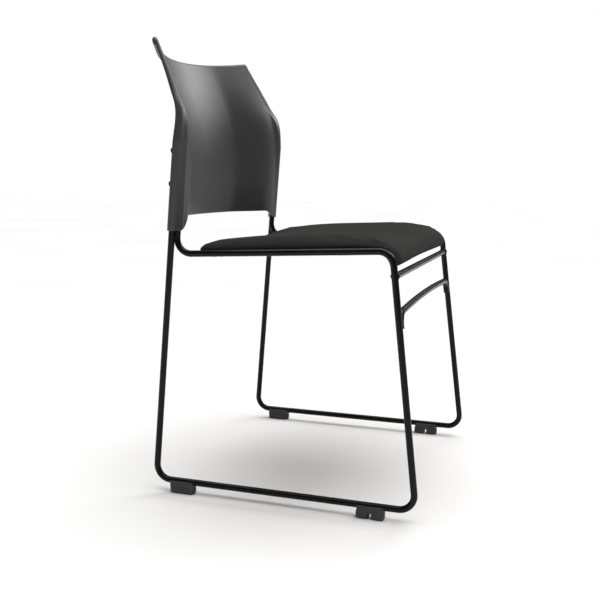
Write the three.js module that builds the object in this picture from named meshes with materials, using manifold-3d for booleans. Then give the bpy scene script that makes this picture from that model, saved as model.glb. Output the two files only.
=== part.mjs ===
// Stacking chair: a sled-base frame of bent round steel rod, a moulded back shell that
// slides over the rod ends, an upholstered seat on two straps, and four plastic glides.
// Millimetres, +Z up, the chair faces -Y, +X is the sitter's left.

import * as THREE from 'three';
import { mergeVertices } from 'three/addons/utils/BufferGeometryUtils.js';
import Module from 'manifold-3d';

const wasm = await Module();
wasm.setup();
const { Manifold, Mesh: ManifoldMesh } = wasm;

// ---- Driving dimensions -------------------------------------------------------------

const ROD_R = 5.55; // solid steel rod, 7/16 inch
const BEND_R = 25; // centreline radius of every frame bend
const WELD_GAP = 0.35; // clearance left where two parts are welded or touch

const RUNNER_Z = 20.5; // runner centreline above the floor
const RUNNER_X = 238.4; // half the distance between the runners
const RUNNER_Y = 230.8; // floor corners lie at +-RUNNER_Y
const RAIL_X = 223.1; // half the distance between the seat rails
const RAIL_FRONT = { y: -183.0, z: 431.9 }; // corner where rail and front leg would meet
const RAIL_REAR_Z = 416.1;
const REAR_LEG_LEAN = 0.0886; // forward travel per unit of height
const REAR_LEG_X_LEAN = 0.0114; // inward travel per unit of height
const UPRIGHT_TOP_Z = 610; // both rod ends stop here, inside the back's sleeves
const UPRIGHT_STEP_Y = 4.6; // the inner upright stands this far in front of the outer one

const CROSS_ROD_Z = 392.5;
const BRACE = { z: 333, rise: 6.5, footZ: 309.5, cornerR: 22 };

const STRAP = { width: 25, thick: 3, low: -4.2 };
const BOARD = { low: -0.8, thick: 9, halfX: 207, rear: 158, front: 38 };
const PAD = { halfX: 214.5, rear: 166, front: 42.5, low: 1.2, rim: 5, crown: 24.6, cover: 1.6 };
const DISH = { depth: 6.5, halfX: 212 }; // the seat is hollowed across its width
const WATERFALL = { at: -150, radius: 25, turn: 1.45 }; // where the seat turns down in front
const PLAN_CORNER = 34; // rounded rear corners of the seat
const SEAT_SCREW = { x: 150, yFront: -105, yRear: 118, headR: 5, headH: 2.8, shankR: 2.4 };

const NUT = { barrelR: 3.9, flangeR: 9, flange: 1.1 }; // tee nut sunk in the board

const SHELL = { thick: 4.5, low: 456, bottom: 472, topMid: 764, topCorner: 780 };
const SHELL_EDGE = [ // half width, front face and height up the side edge of the back
  [234.5, 183.6, 456], [231.5, 177.6, 530], [228.6, 173.2, 595], [227.3, 171.6, 634],
  [225.6, 175.6, 664], [216.5, 189.0, 694], [206.5, 206.5, 729], [193.8, 234.0, 780],
];
const SHELL_MIDDLE = { waistZ: 569, waistY: 243, bow: 0.00099 };
const SLEEVE = { radius: 8.4, tip: 3.2, taperFrom: 605 };
const LIP = { halfThick: 5, height: 16 };
const BACK_SCREW = { z: [534, 588.5], headR: 4.6, headH: 2.6, shankR: 1.9, length: 13 };

const GLIDE = { length: 47, halfX: 8.8, bevel: 2.2, rearY: 179, frontY: -157, slot: 4 };
const GLIDE_PIN_R = 2.4;

// ---- Materials ----------------------------------------------------------------------

const material = (color, roughness, metalness) =>
  new THREE.MeshStandardMaterial({ color, roughness, metalness });
const POWDER_COAT = material(0x141416, 0.42, 0.25);
const SHELL_PLASTIC = material(0x4a4a4d, 0.4, 0.0);
const GLIDE_PLASTIC = material(0x2f2e33, 0.6, 0.0);
const UPHOLSTERY = material(0x363734, 0.95, 0.0);
const FOAM = material(0xd8cfa8, 0.95, 0.0);
const PLYWOOD = material(0xb98f5c, 0.75, 0.0);
const BLACK_SCREW = material(0x1c1c1e, 0.45, 0.7);
const ZINC = material(0xb4b8bc, 0.35, 0.9);

// ---- Geometry helpers ---------------------------------------------------------------

const V = (x, y, z) => new THREE.Vector3(x, y, z);

function toManifold(geometry) {
  const bare = new THREE.BufferGeometry();
  bare.setAttribute('position', geometry.getAttribute('position').clone());
  if (geometry.index) bare.setIndex(geometry.index.clone());
  const welded = mergeVertices(bare, 1e-4);
  return new Manifold(new ManifoldMesh({
    numProp: 3,
    vertProperties: new Float32Array(welded.getAttribute('position').array),
    triVerts: new Uint32Array(welded.index.array),
  }));
}

function toGeometry(manifold) {
  const mesh = manifold.getMesh();
  const geometry = new THREE.BufferGeometry();
  geometry.setAttribute('position', new THREE.BufferAttribute(mesh.vertProperties, 3));
  geometry.setIndex(new THREE.BufferAttribute(mesh.triVerts, 1));
  geometry.computeVertexNormals();
  return geometry;
}

function joined(...geometries) {
  return toGeometry(Manifold.union(geometries.map(toManifold)));
}

function cut(geometry, ...tools) {
  const solid = toManifold(geometry);
  return toGeometry(solid.subtract(Manifold.union(tools.map(toManifold))));
}

function common(first, second) {
  return toGeometry(toManifold(first).intersect(toManifold(second)));
}

// A closed skin from rings of points that all have the same count, capped at both ends.
function skin(rings) {
  const count = rings[0].length;
  const positions = rings.flat().flatMap((p) => [p.x, p.y, p.z]);
  const index = [];
  for (let i = 0; i + 1 < rings.length; i += 1) {
    for (let j = 0; j < count; j += 1) {
      const a = i * count + j;
      const b = i * count + ((j + 1) % count);
      index.push(a, b, a + count, b, b + count, a + count);
    }
  }
  const last = (rings.length - 1) * count;
  const capAt = (ring, start, flip) => {
    const centre = ring.reduce((sum, p) => sum.add(p), V(0, 0, 0)).divideScalar(count);
    const c = positions.push(centre.x, centre.y, centre.z) / 3 - 1;
    for (let j = 0; j < count; j += 1) {
      const [a, b] = [start + j, start + ((j + 1) % count)];
      index.push(...(flip ? [c, b, a] : [c, a, b]));
    }
  };
  capAt(rings[0], 0, true);
  capAt(rings.at(-1), last, false);
  const geometry = new THREE.BufferGeometry();
  geometry.setAttribute('position', new THREE.Float32BufferAttribute(positions, 3));
  geometry.setIndex(index);
  return geometry;
}

// The centreline of a bent rod: straight runs between corners, a round bend at each corner.
function bentPath(corners, radius, steps = 6) {
  const path = [corners[0].clone()];
  for (let i = 1; i + 1 < corners.length; i += 1) {
    const back = corners[i - 1].clone().sub(corners[i]).normalize();
    const ahead = corners[i + 1].clone().sub(corners[i]).normalize();
    const half = back.angleTo(ahead) / 2;
    const toCentre = back.clone().add(ahead).normalize();
    const centre = corners[i].clone().addScaledVector(toCentre, radius / Math.sin(half));
    const start = corners[i].clone().addScaledVector(back, radius / Math.tan(half)).sub(centre);
    const end = corners[i].clone().addScaledVector(ahead, radius / Math.tan(half)).sub(centre);
    const axis = start.clone().cross(end).normalize();
    for (let k = 0; k <= steps; k += 1) {
      const turn = (start.angleTo(end) * k) / steps;
      path.push(centre.clone().add(start.clone().applyAxisAngle(axis, turn)));
    }
  }
  path.push(corners.at(-1).clone());
  return path;
}

// A round rod along a path, its section carried along without twisting.
function rodAlong(path, radius, sides = 14) {
  let side = null;
  const rings = path.map((point, i) => {
    const before = path[Math.max(i - 1, 0)];
    const after = path[Math.min(i + 1, path.length - 1)];
    const tangent = after.clone().sub(before).normalize();
    const seed = side ?? (Math.abs(tangent.x) > 0.9 ? V(0, 0, 1) : V(1, 0, 0));
    side = seed.clone().addScaledVector(tangent, -seed.dot(tangent)).normalize();
    const up = tangent.clone().cross(side);
    return Array.from({ length: sides }, (_, k) => {
      const angle = (2 * Math.PI * k) / sides;
      return point.clone()
        .addScaledVector(side, radius * Math.cos(angle))
        .addScaledVector(up, radius * Math.sin(angle));
    });
  });
  return skin(rings);
}

const rodBetween = (from, to, radius, sides = 14) => rodAlong([from, to], radius, sides);

// A closed sheet over a grid: under(a, b) and over(a, b) give its two faces.
function slab(as, bs, under, over) {
  const rings = bs.map((b) => [
    ...as.map((a) => under(a, b)),
    ...as.slice().reverse().map((a) => over(a, b)),
  ]);
  const count = rings[0].length;
  const positions = rings.flat().flatMap((p) => [p.x, p.y, p.z]);
  const index = [];
  for (let i = 0; i + 1 < rings.length; i += 1) {
    for (let j = 0; j < count; j += 1) {
      const a = i * count + j;
      const b = i * count + ((j + 1) % count);
      index.push(a, b, a + count, b, b + count, a + count);
    }
  }
  const cap = (start, flip) => {
    for (let j = 0; j + 1 < as.length; j += 1) {
      const [a, b] = [start + j, start + j + 1];
      const [c, d] = [start + count - 1 - j, start + count - 2 - j];
      index.push(...(flip ? [a, c, b, b, c, d] : [a, b, c, b, d, c]));
    }
  };
  cap(0, true);
  cap((bs.length - 1) * count, false);
  const geometry = new THREE.BufferGeometry();
  geometry.setAttribute('position', new THREE.Float32BufferAttribute(positions, 3));
  geometry.setIndex(index);
  return geometry;
}

const lerp = THREE.MathUtils.lerp;
const steps = (low, high, count) =>
  Array.from({ length: count + 1 }, (_, i) => lerp(low, high, i / count));
const smooth = (low, high, value) => THREE.MathUtils.smoothstep(value, low, high);

const part = (name, geometry, look) => {
  const mesh = new THREE.Mesh(geometry, look);
  mesh.name = name;
  return mesh;
};

// ---- Where the rods run -------------------------------------------------------------

const rearLegY = (z) => RUNNER_Y - REAR_LEG_LEAN * (z - RUNNER_Z);
const rearLegX = (z) => RUNNER_X - REAR_LEG_X_LEAN * (z - RUNNER_Z);
const frontLegT = (z) => (z - RUNNER_Z) / (RAIL_FRONT.z - RUNNER_Z);
const frontLegY = (z) => lerp(-RUNNER_Y, RAIL_FRONT.y, frontLegT(z));
const frontLegX = (z) => lerp(RUNNER_X, RAIL_X, frontLegT(z));
const innerUprightY = (z) => rearLegY(z) - UPRIGHT_STEP_Y;
const innerUprightX = (z) => rearLegX(z) - 2 * ROD_R - 0.5;
const RAIL_REAR_Y = innerUprightY(RAIL_REAR_Z);

// ---- Frame --------------------------------------------------------------------------

// One rod makes each side: up the inner upright, rail, front leg, runner and rear leg.
function sideRod(side) {
  const corners = [
    V(side * innerUprightX(UPRIGHT_TOP_Z), innerUprightY(UPRIGHT_TOP_Z), UPRIGHT_TOP_Z),
    V(side * innerUprightX(RAIL_REAR_Z), RAIL_REAR_Y, RAIL_REAR_Z),
    V(side * RAIL_X, RAIL_FRONT.y, RAIL_FRONT.z),
    V(side * RUNNER_X, -RUNNER_Y, RUNNER_Z),
    V(side * RUNNER_X, RUNNER_Y, RUNNER_Z),
    V(side * rearLegX(UPRIGHT_TOP_Z), rearLegY(UPRIGHT_TOP_Z), UPRIGHT_TOP_Z),
  ];
  const rod = rodAlong(bentPath(corners, BEND_R), ROD_R);
  const pinHoles = [GLIDE.rearY, GLIDE.frontY].map((y) => rodBetween(
    V(side * RUNNER_X, y, RUNNER_Z - ROD_R - 2),
    V(side * RUNNER_X, y, RUNNER_Z + 1),
    GLIDE_PIN_R + WELD_GAP, 10));
  const screwHoles = BACK_SCREW.z.map((z) => rodBetween(
    V(side * rearLegX(z), rearLegY(z) - 9, z),
    V(side * rearLegX(z), rearLegY(z) + 9, z),
    BACK_SCREW.shankR + WELD_GAP, 10));
  return cut(rod, ...pinHoles, ...screwHoles);
}

function frontCrossRod() {
  const reach = frontLegX(CROSS_ROD_Z) - ROD_R - WELD_GAP;
  const y = frontLegY(CROSS_ROD_Z);
  return rodBetween(V(-reach, y, CROSS_ROD_Z), V(reach, y, CROSS_ROD_Z), ROD_R);
}

// The arched brace: its ends turn down and run along the inside of the front legs.
function archBrace() {
  const inset = 2 * ROD_R + WELD_GAP;
  const onLeg = (side, z) => V(side * (frontLegX(z) - inset), frontLegY(z), z);
  const crown = steps(-1, 1, 6).slice(1, -1).map((t) => {
    const z = BRACE.z + BRACE.rise * (1 - t * t);
    return V(t * frontLegX(z), frontLegY(BRACE.z), z);
  });
  const corners = [onLeg(-1, BRACE.footZ), onLeg(-1, BRACE.z)];
  const [left, right] = [bentPath([...corners, crown[0]], BRACE.cornerR, 5), []];
  for (const p of left.slice(0, -1)) right.unshift(V(-p.x, p.y, p.z));
  return rodAlong([...left.slice(0, -1), ...crown, ...right], ROD_R);
}

// ---- Seat, drawn in a frame that lies along the tilted rails -------------------------

const RAIL_SLOPE = (RAIL_FRONT.z - RAIL_REAR_Z) / (RAIL_REAR_Y - RAIL_FRONT.y);
const RAIL_MID_Z = RAIL_REAR_Z + RAIL_SLOPE * RAIL_REAR_Y;

const dish = (x) => -DISH.depth * Math.cos((Math.min(Math.abs(x) / DISH.halfX, 1) * Math.PI) / 2) ** 2;

// A point of the seat: flat behind WATERFALL.at, then turned down. n is the height above it.
function seatPoint(x, s, n) {
  const past = Math.max(WATERFALL.at - s, 0);
  const turn = Math.min(past / WATERFALL.radius, WATERFALL.turn);
  const rest = past - turn * WATERFALL.radius;
  const reach = WATERFALL.radius + n + dish(x);
  return V(x,
    Math.max(s, WATERFALL.at) - reach * Math.sin(turn) - rest * Math.cos(turn),
    reach * Math.cos(turn) - WATERFALL.radius - rest * Math.sin(turn));
}

// Height of the upholstery above the rails, rounded off towards its edges.
function crownHeight(x, s) {
  const round = (gap, run) => Math.sqrt(Math.max(0, 1 - (1 - Math.min(gap / run, 1)) ** 2));
  const dome = PAD.crown - 9.5 * (Math.max(s - 10, 0) / 150) ** 2;
  const front = 3.4 * (1 - smooth(WATERFALL.at - 10, WATERFALL.at + 40, s));
  const sides = round(PAD.halfX - Math.abs(x), 22);
  const rear = round(PAD.rear - s, 16);
  const toe = round(s - (WATERFALL.at - PAD.front), 6);
  return PAD.rim + (dome - front - PAD.rim) * Math.min(sides, rear, toe);
}

// A sheet that follows the seat's shape between two heights, with rounded rear corners.
function seatSheet(halfX, front, rear, low, high) {
  const across = [0.22, 0.45, 0.68, 0.86, 0.93, 0.975, 1].map((t) => t * halfX);
  const columns = [...across.slice().reverse(), 0, ...across.map((x) => -x)];
  const bend = WATERFALL.at;
  const toe = [2.5, 4.5, 7.5].map((gap) => bend - PAD.front + gap);
  const flat = [...steps(toe[2] + 6, bend, 5), -100, 0, 60, 110, rear - 16, rear - 8, rear - 3, rear];
  const rows = [bend - front, ...[...toe, ...flat].filter((s) => s > bend - front + 0.1)];
  const sheet = slab(columns, rows,
    (x, s) => seatPoint(x, s, low),
    (x, s) => seatPoint(x, s, high(x, s)));
  const corner = PLAN_CORNER - (PAD.halfX - halfX);
  const outline = new THREE.Shape()
    .moveTo(halfX + 1, -300)
    .lineTo(halfX + 1, rear + 1 - corner)
    .absarc(halfX + 1 - corner, rear + 1 - corner, corner, 0, Math.PI / 2)
    .absarc(corner - halfX - 1, rear + 1 - corner, corner, Math.PI / 2, Math.PI)
    .lineTo(-halfX - 1, -300);
  const prism = new THREE.ExtrudeGeometry(outline,
    { depth: 140, bevelEnabled: false, curveSegments: 5 });
  return common(sheet, prism.translate(0, 0, -90));
}

const upholsteryTo = (inset) => (x, s) => crownHeight(
  x * (PAD.halfX / (PAD.halfX - inset)), s) - inset;

const padSheet = (inset, low) => seatSheet(PAD.halfX - inset, PAD.front - inset,
  PAD.rear - inset, low, upholsteryTo(inset));

const boardSheet = (grow) => seatSheet(BOARD.halfX + grow, BOARD.front + grow,
  BOARD.rear + grow, BOARD.low - grow, () => BOARD.low + BOARD.thick + grow);

const seatScrewPlaces = [-1, 1].flatMap((side) =>
  [SEAT_SCREW.yFront, SEAT_SCREW.yRear].map((y) => ({ x: side * SEAT_SCREW.x, y })));

const upright = (place, low, high, radius, sides = 16) => rodBetween(
  V(place.x, place.y, low + dish(place.x)), V(place.x, place.y, high + dish(place.x)), radius, sides);

const boardTop = BOARD.low + BOARD.thick;

function seatBoard() {
  const holes = seatScrewPlaces.flatMap((place) => [
    upright(place, BOARD.low - 5, boardTop + 5, NUT.barrelR + WELD_GAP),
    upright(place, boardTop - NUT.flange - WELD_GAP, boardTop + 5, NUT.flangeR + WELD_GAP),
  ]);
  return cut(boardSheet(0), ...holes);
}

const seatFoam = () => cut(padSheet(PAD.cover + 2 * WELD_GAP, PAD.low), boardSheet(WELD_GAP));
const seatCover = () => cut(padSheet(0, PAD.low), padSheet(PAD.cover, PAD.low - 6));

function teeNut(place) {
  const body = joined(
    upright(place, BOARD.low + 1, boardTop - 0.5, NUT.barrelR),
    upright(place, boardTop - NUT.flange, boardTop, NUT.flangeR));
  return cut(body, upright(place, BOARD.low - 5, boardTop + 5, SEAT_SCREW.shankR + WELD_GAP));
}

// A pan-head screw along +Z: head below z = 0, shank above it.
function panScrew(headR, headH, shankR, length) {
  const outline = [
    new THREE.Vector2(0, -headH),
    new THREE.Vector2(headR * 0.55, -headH),
    new THREE.Vector2(headR * 0.9, -headH * 0.62),
    new THREE.Vector2(headR, 0),
    new THREE.Vector2(shankR, 0),
    new THREE.Vector2(shankR, length - 1.2),
    new THREE.Vector2(shankR * 0.5, length),
    new THREE.Vector2(0, length),
  ];
  const turned = new THREE.LatheGeometry(outline, 16).rotateX(Math.PI / 2);
  const socket = new THREE.CylinderGeometry(headR * 0.42, headR * 0.42, headH, 6)
    .rotateX(Math.PI / 2).translate(0, 0, -headH);
  return cut(turned, socket);
}

function seatScrew(place) {
  const screw = panScrew(SEAT_SCREW.headR, SEAT_SCREW.headH, SEAT_SCREW.shankR, 11);
  return screw.translate(place.x, place.y, STRAP.low + dish(place.x) - WELD_GAP);
}

function seatStrap(y) {
  const halfX = innerUprightX(RAIL_REAR_Z) - ROD_R - WELD_GAP;
  const bar = slab(steps(halfX, -halfX, 16), [y - STRAP.width / 2, y + STRAP.width / 2],
    (x, s) => seatPoint(x, s, STRAP.low),
    (x, s) => seatPoint(x, s, STRAP.low + STRAP.thick));
  const holes = seatScrewPlaces.filter((place) => place.y === y)
    .map((place) => upright(place, STRAP.low - 5, STRAP.low + 8, SEAT_SCREW.shankR + WELD_GAP));
  return cut(bar, ...holes);
}

// ---- Back shell ---------------------------------------------------------------------

const shellEdge = new THREE.CatmullRomCurve3(SHELL_EDGE.map(([x, y, z]) => V(x, y, z)));

// How deep the face is hollowed: flat wings and steep flanks low down, a plain arc on top.
function shellDepth(u, v) {
  const arc = 1 - u * u;
  const flank = 1 - smooth(0.48, 0.9, Math.abs(u));
  const tub = flank * (1 - 0.9 * u * u) - 0.035 * (1 - flank);
  return lerp(tub, arc, 0.85 * smooth(0.15, 1, v));
}

// The shell's front face: u runs from -1 to 1 across it, v from 0 at the foot to 1 on top.
function shellFace(u, v) {
  const edge = shellEdge.getPointAt(v);
  const sag = SHELL_MIDDLE.waistY + SHELL_MIDDLE.bow * (edge.z - SHELL_MIDDLE.waistZ) ** 2 - edge.y;
  const foot = (SHELL.bottom - SHELL.low) * (1 - smooth(0.8, 0.93, Math.abs(u)));
  const dip = (SHELL.topCorner - SHELL.topMid) * (1 - u * u);
  return V(u * edge.x, edge.y + sag * shellDepth(u, v), edge.z + foot * (1 - v) ** 6 - dip * v ** 2);
}

function shellFrame(u, v) {
  const h = 0.004;
  const [v0, v1] = [Math.max(v - h, 0), Math.min(v + h, 1)];
  const across = shellFace(u + h, v).sub(shellFace(u - h, v)).normalize();
  const up = shellFace(u, v1).sub(shellFace(u, v0)).normalize();
  return { point: shellFace(u, v), up, rear: up.clone().cross(across).normalize() };
}

function shellPoint(u, v, depth, lift = 0) {
  const { point, up, rear } = shellFrame(u, v);
  return point.addScaledVector(rear, depth).addScaledVector(up, lift);
}

function shellSheet() {
  const half = [0, 0.15, 0.3, 0.42, 0.5, 0.57, 0.63, 0.69, 0.75, 0.8, 0.85, 0.9, 0.95, 1];
  const us = [...half.slice(1).reverse().map((u) => -u), ...half];
  return slab(us, steps(0, 1, 22),
    (u, v) => shellPoint(u, v, 0),
    (u, v) => shellPoint(u, v, SHELL.thick));
}

// One sleeve: a moulded oval around both uprights, which tapers above them into a bead
// along the shell's edge.
function sleeve(side) {
  const levels = [...steps(0, 0.42, 6), ...steps(0.46, 0.97, 12)];
  const rings = levels.map((v) => {
    const edge = shellEdge.getPointAt(v);
    const { z } = edge;
    const past = Math.max(z - SLEEVE.taperFrom, 0) / (SHELL.topCorner - SLEEVE.taperFrom);
    const radius = lerp(SLEEVE.radius, SLEEVE.tip, past ** 0.85);
    const merge = smooth(UPRIGHT_TOP_Z - 10, UPRIGHT_TOP_Z + 80, z);
    const outerEdge = shellPoint(1 - radius / edge.x, v, radius);
    const innerEdge = shellPoint(1 - (2.4 * radius) / edge.x, v, radius);
    const centres = [
      [lerp(rearLegX(z), outerEdge.x, merge), lerp(rearLegY(z), outerEdge.y, merge)],
      [lerp(innerUprightX(z), innerEdge.x, merge), lerp(innerUprightY(z), innerEdge.y, merge)],
    ];
    const start = Math.atan2(centres[1][1] - centres[0][1], centres[1][0] - centres[0][0]);
    return centres.flatMap(([x, y], i) => steps(Math.PI / 2, 1.5 * Math.PI, 8).map((turn) => {
      const angle = start + turn + i * Math.PI;
      return V(x + radius * Math.cos(angle), y + radius * Math.sin(angle), z);
    }));
  });
  return skin(side > 0 ? rings : rings.map((ring) =>
    ring.map((p) => V(-p.x, p.y, p.z)).reverse()));
}

// The rolled lip along the top edge, thicker than the shell and hooked rearwards.
function topLip() {
  const half = LIP.height / 2;
  const rings = steps(-0.996, 0.996, 26).map((u) => Array.from({ length: 12 }, (_, k) => {
    const angle = (2 * Math.PI * k) / 12;
    return shellPoint(u, 1, LIP.halfThick + 0.1 + LIP.halfThick * Math.cos(angle),
      half * Math.sin(angle) - half + 0.3);
  }));
  return skin(rings);
}

function uprightBores(side) {
  const clear = ROD_R + WELD_GAP;
  const bore = (xAt, yAt) => rodBetween(
    V(side * xAt(SHELL.low - 8), yAt(SHELL.low - 8), SHELL.low - 8),
    V(side * xAt(UPRIGHT_TOP_Z + 1), yAt(UPRIGHT_TOP_Z + 1), UPRIGHT_TOP_Z + 1), clear);
  return [bore(rearLegX, rearLegY), bore(innerUprightX, innerUprightY)];
}

const backScrewPlaces = BACK_SCREW.z.map((z) => ({ x: rearLegX(z), y: rearLegY(z), z }));
const sleeveRearY = (place) => place.y + SLEEVE.radius;

function backShell() {
  const sides = [-1, 1];
  const solid = joined(shellSheet(), topLip(), ...sides.map(sleeve));
  const screwHoles = sides.flatMap((side) => backScrewPlaces.map((place) => rodBetween(
    V(side * place.x, place.y - 6, place.z),
    V(side * place.x, place.y + 14, place.z), BACK_SCREW.shankR + WELD_GAP, 10)));
  const flats = sides.flatMap((side) => backScrewPlaces.map((place) => rodBetween(
    V(side * place.x, sleeveRearY(place) - 0.6, place.z),
    V(side * place.x, sleeveRearY(place) + 14, place.z), BACK_SCREW.headR + 0.6, 16)));
  return cut(solid, ...sides.flatMap(uprightBores), ...screwHoles, ...flats);
}

function backScrew(side, place) {
  const { headR, headH, shankR, length } = BACK_SCREW;
  return panScrew(headR, headH, shankR, length).rotateX(Math.PI / 2)
    .translate(side * place.x, sleeveRearY(place) - 0.6 + WELD_GAP, place.z);
}

// ---- Glides -------------------------------------------------------------------------

// A saddle that clips under the runner, with a pin that enters a hole in the rod.
function glide(side, y, slotted) {
  const { halfX, bevel, length, slot } = GLIDE;
  const section = new THREE.Shape()
    .moveTo(-halfX + 2, 0)
    .lineTo(halfX - 2, 0)
    .lineTo(halfX, 3)
    .lineTo(halfX, RUNNER_Z - 3)
    .lineTo(halfX - 1.4, RUNNER_Z)
    .lineTo(-halfX + 1.4, RUNNER_Z)
    .lineTo(-halfX, RUNNER_Z - 3)
    .lineTo(-halfX, 3);
  const body = new THREE.ExtrudeGeometry(section, {
    depth: length - 2 * bevel, bevelThickness: bevel, bevelSize: bevel,
    bevelOffset: -bevel, bevelSegments: 2,
  }).translate(0, 0, bevel - length / 2).rotateX(Math.PI / 2);
  const groove = rodBetween(V(0, -length, RUNNER_Z), V(0, length, RUNNER_Z),
    ROD_R + WELD_GAP, 18);
  const notch = new THREE.BoxGeometry(4 * halfX, slot, 14).translate(0, 0, 5);
  const pin = rodBetween(V(0, 0, RUNNER_Z - ROD_R - 2), V(0, 0, RUNNER_Z - 0.5), GLIDE_PIN_R, 10);
  const saddle = slotted ? cut(body, groove, notch) : cut(body, groove);
  return joined(saddle, pin).translate(side * RUNNER_X, y, 0);
}

// ---- The chair ----------------------------------------------------------------------

const sideName = (side) => (side > 0 ? 'left' : 'right');
const chair = new THREE.Group();
chair.name = 'stacking_chair';

for (const side of [-1, 1]) {
  const name = sideName(side);
  chair.add(part(`side_frame_${name}`, sideRod(side), POWDER_COAT));
  chair.add(part(`glide_rear_${name}`, glide(side, GLIDE.rearY, false), GLIDE_PLASTIC));
  chair.add(part(`glide_front_${name}`, glide(side, GLIDE.frontY, true), GLIDE_PLASTIC));
  backScrewPlaces.forEach((place, i) => chair.add(part(
    `back_screw_${i ? 'upper' : 'lower'}_${name}`, backScrew(side, place), BLACK_SCREW)));
}
chair.add(part('front_cross_rod', frontCrossRod(), POWDER_COAT));
chair.add(part('front_arch_brace', archBrace(), POWDER_COAT));
chair.add(part('back_shell', backShell(), SHELL_PLASTIC));

const seat = new THREE.Group();
seat.position.z = RAIL_MID_Z;
seat.rotation.x = -Math.atan(RAIL_SLOPE);
seat.add(part('seat_strap_front', seatStrap(SEAT_SCREW.yFront), POWDER_COAT));
seat.add(part('seat_strap_rear', seatStrap(SEAT_SCREW.yRear), POWDER_COAT));
seat.add(part('seat_board', seatBoard(), PLYWOOD));
seat.add(part('seat_foam', seatFoam(), FOAM));
seat.add(part('seat_cover', seatCover(), UPHOLSTERY));
for (const place of seatScrewPlaces) {
  const name = `${place.y < 0 ? 'front' : 'rear'}_${sideName(place.x)}`;
  seat.add(part(`tee_nut_${name}`, teeNut(place), ZINC));
  seat.add(part(`seat_screw_${name}`, seatScrew(place), BLACK_SCREW));
}
chair.add(seat);

// The origin is the middle of the footprint on the floor.
const box = new THREE.Box3().setFromObject(chair);
chair.position.y = -(box.min.y + box.max.y) / 2;

export default chair;
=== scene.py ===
import math
import random

import bpy
import numpy as np
from mathutils import Matrix, Vector


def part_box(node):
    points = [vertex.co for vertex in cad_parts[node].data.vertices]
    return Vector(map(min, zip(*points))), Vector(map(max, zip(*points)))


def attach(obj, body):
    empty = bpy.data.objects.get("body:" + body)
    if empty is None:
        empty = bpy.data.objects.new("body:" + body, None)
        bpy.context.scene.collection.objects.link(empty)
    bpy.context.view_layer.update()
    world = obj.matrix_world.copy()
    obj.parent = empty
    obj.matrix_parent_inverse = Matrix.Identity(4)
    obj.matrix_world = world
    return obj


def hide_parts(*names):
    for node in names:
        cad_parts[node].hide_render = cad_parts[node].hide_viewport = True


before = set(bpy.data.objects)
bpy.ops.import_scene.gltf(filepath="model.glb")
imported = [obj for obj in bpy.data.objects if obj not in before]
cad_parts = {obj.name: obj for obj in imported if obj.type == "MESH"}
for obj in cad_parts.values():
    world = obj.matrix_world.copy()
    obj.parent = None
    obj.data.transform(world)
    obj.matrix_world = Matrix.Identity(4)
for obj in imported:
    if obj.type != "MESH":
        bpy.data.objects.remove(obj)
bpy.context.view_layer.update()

# ---- Dimensions, in millimetres ------------------------------------------------------
# X is the sitter's left, Y is rearwards and Z is up. Y is counted from the middle of the
# runners here, and SHIFT moves it to the frame's own origin.

MM = 0.001
ROD_R = 5.55
BEND_R = 25.0
RUNNER_Z, RUNNER_X, RUNNER_Y = 20.5, 238.4, 230.8
RAIL_X, RAIL_FRONT_Y, RAIL_FRONT_Z, RAIL_REAR_Z = 223.1, -183.0, 431.9, 416.1
REAR_LEG_LEAN, REAR_LEG_X_LEAN = 0.0886, 0.0114
UPRIGHT_TOP_Z, UPRIGHT_STEP_Y, UPRIGHT_STEP_X = 610.0, 4.6, 2 * ROD_R + 0.5
CROSS_ROD_Z = 392.5
BRACE_Z, BRACE_RISE, BRACE_FOOT_Z, BRACE_CORNER_R = 333.0, 6.5, 309.5, 22.0
SLEEVE_R, SHELL_THICK = 8.4, 4.5
SHELL_EDGE = [
    (234.5, 183.6, 456.0), (231.5, 177.6, 530.0), (228.6, 173.2, 595.0), (227.3, 171.6, 634.0),
    (225.6, 175.6, 664.0), (216.5, 189.0, 694.0), (206.5, 206.5, 729.0), (193.8, 234.0, 780.0),
]
# The middle of the back, seen from the side, bows evenly about its waist.
WAIST_Z, WAIST_Y, WAIST_BOW = 569.0, 243.0, 0.00099
WING_FROM, WING_TO = 0.48, 0.90
FOOT_RAISE, TOP_DIP = 16.0, 16.0
LIP_HEIGHT, LIP_HALF, LIP_END_R = 16.0, 5.0, 2.5
TAPER_FROM, TAPER_TIP = 605.0, 3.2
SHELL_TINY = 0.004
PLATE_STEPS, SHELL_ROWS = 33, 66
BACK_SCREW_Z = {"lower": 534.0, "upper": 588.5}
GLIDE_LENGTH, GLIDE_HALF_X = 47.0, 8.8
GLIDE_Y = {"rear": 179.0, "front": -157.0}
PAD_HALF_X, PAD_REAR, PAD_FRONT, PAD_CORNER_R = 214.5, 166.0, 42.5, 34.0
PAD_LOW, PAD_RIM, PAD_CROWN = 1.2, 5.0, 24.6
CLOTH_SHRINK, CLOTH_VOXEL, CLOTH_REACH = 1.6, 4.2, 3.2
DISH_DEPTH, DISH_HALF_X = 6.5, 212.0
BEND_AT, BEND_RADIUS, BEND_TURN = -150.0, 25.0, 1.45
BOARD_LOW, BOARD_HALF_X, BOARD_REAR, BOARD_FRONT = -0.8, 207.0, 158.0, 38.0
STRAP_LOW, STRAP_THICK, STRAP_WIDTH = -4.2, 3.0, 25.0
SEAT_SCREW_X, SEAT_SCREW_Y = 150.0, {"front": -105.0, "rear": 118.0}


def lerp(a, b, t):
    return a + (b - a) * t


def smooth(low, high, value):
    t = np.clip((value - low) / (high - low), 0, 1)
    return t * t * (3 - 2 * t)


def rear_leg(z):
    return Vector((RUNNER_X - REAR_LEG_X_LEAN * (z - RUNNER_Z),
                   RUNNER_Y - REAR_LEG_LEAN * (z - RUNNER_Z), z))


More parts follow.
